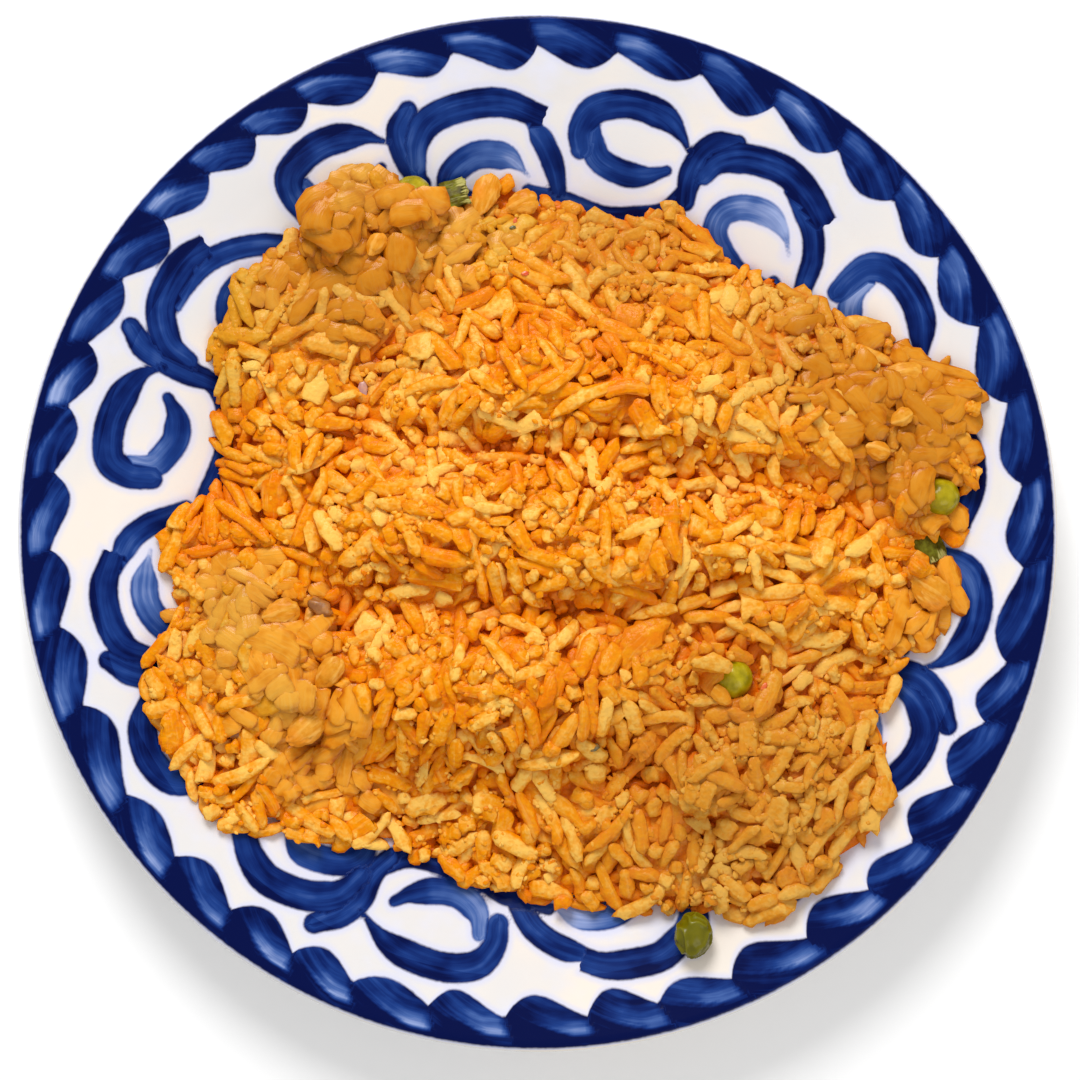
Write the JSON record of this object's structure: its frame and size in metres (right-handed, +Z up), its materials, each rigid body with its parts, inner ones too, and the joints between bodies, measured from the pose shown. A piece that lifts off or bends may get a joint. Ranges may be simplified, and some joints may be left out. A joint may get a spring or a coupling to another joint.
{
  "type": "plate of red rice with peas",
  "caption": "Hand-painted white dinner plate with a blue scroll border, covered by an uneven heap of red rice with peas, corn kernels and green pepper.",
  "frame": {"origin": "middle of the foot ring, on the table", "axes": "+Z up out of the plate, +Y towards the top of the picture"},
  "size_m": [0.24, 0.24, 0.0387],
  "materials": {
    "painted_glaze": "glossy white glaze with cobalt blue brushwork",
    "red_rice": "moist cooked grains, orange to pale yellow",
    "pea": "moist green skin",
    "corn": "moist yellow kernel",
    "pepper": "cooked green skin with a pale cut edge"
  },
  "bodies": {
    "root": {"plate": "painted_glaze", "rice_heap": "red_rice", "pea_whole": "pea", "pea_wrinkled": "pea", "pea_right": "pea", "pea_top": "pea", "pea_upper_left": "pea", "pea_in_crevice": "pea", "corn_kernel_01": "corn", "corn_kernel_02": "corn", "corn_kernel_03": "corn", "corn_kernel_04": "corn", "corn_kernel_05": "corn", "corn_kernel_06": "corn", "corn_kernel_07": "corn", "corn_kernel_08": "corn", "corn_kernel_09": "corn", "corn_kernel_10": "corn", "corn_kernel_11": "corn", "corn_kernel_12": "corn", "green_pepper_1": "pepper", "green_pepper_2": "pepper"}
  },
  "joints": []
}
